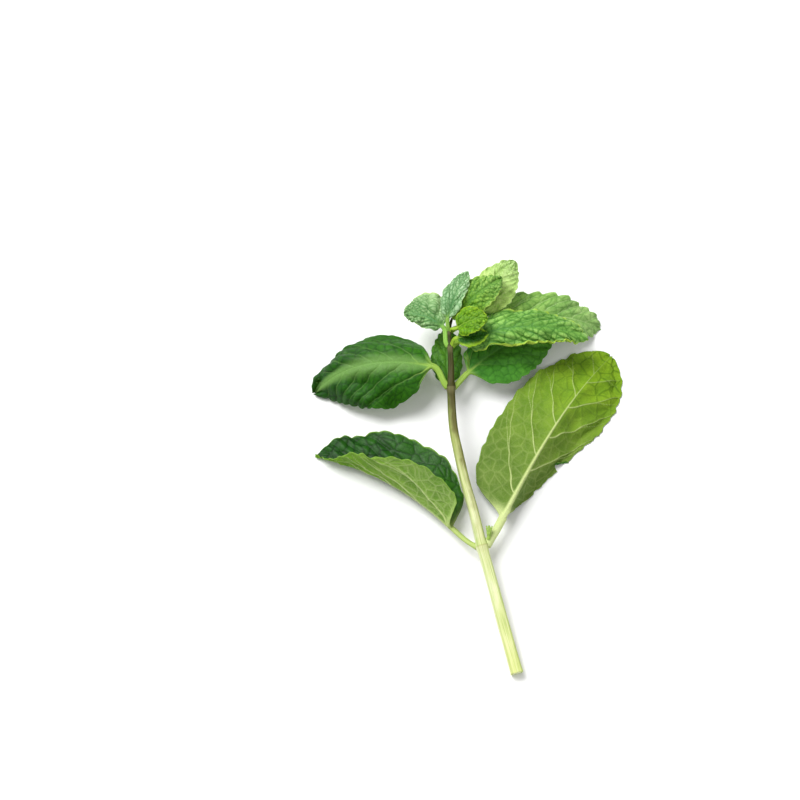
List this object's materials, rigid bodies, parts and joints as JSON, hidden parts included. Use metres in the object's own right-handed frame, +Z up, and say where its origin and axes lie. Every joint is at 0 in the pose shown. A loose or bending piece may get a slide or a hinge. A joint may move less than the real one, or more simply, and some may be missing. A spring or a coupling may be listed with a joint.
{
  "type": "mint sprig",
  "caption": "Cut sprig of fresh mint lying on a surface: a square pale stem, opposite pairs of toothed, net-veined leaves and a crown of young leaves.",
  "frame": {"origin": "on the surface that the sprig lies on, below the middle of its outline", "axes": "+Z up from the surface, +Y from the cut end towards the crown, +X to the right of that"},
  "size_m": [0.1016, 0.1334, 0.0233],
  "materials": {
    "stem": "smooth fresh herb stem, pale lime below and purple-brown towards the crown",
    "leaf": "soft satin leaf, dark green above with sunk veins, pale grey-green below with raised veins",
    "young_leaf": "soft satin young leaf, lighter and more yellow, finely puckered",
    "bud": "bright green tiny folded leaves"
  },
  "bodies": {
    "root": {"leaf_1_left": "leaf", "leaf_1_right": "leaf", "leaf_2_axil": "leaf", "leaf_2_left": "leaf", "leaf_2_right": "leaf", "leaf_3_left": "leaf", "leaf_3_right": "leaf", "leaf_4_left": "young_leaf", "leaf_4_right": "leaf", "leaf_5_back": "young_leaf", "leaf_5_front": "young_leaf", "leaf_6_front": "young_leaf", "leaf_6_right": "young_leaf", "bud_axil": "bud", "bud_tip": "bud", "stem": "stem"}
  },
  "joints": []
}
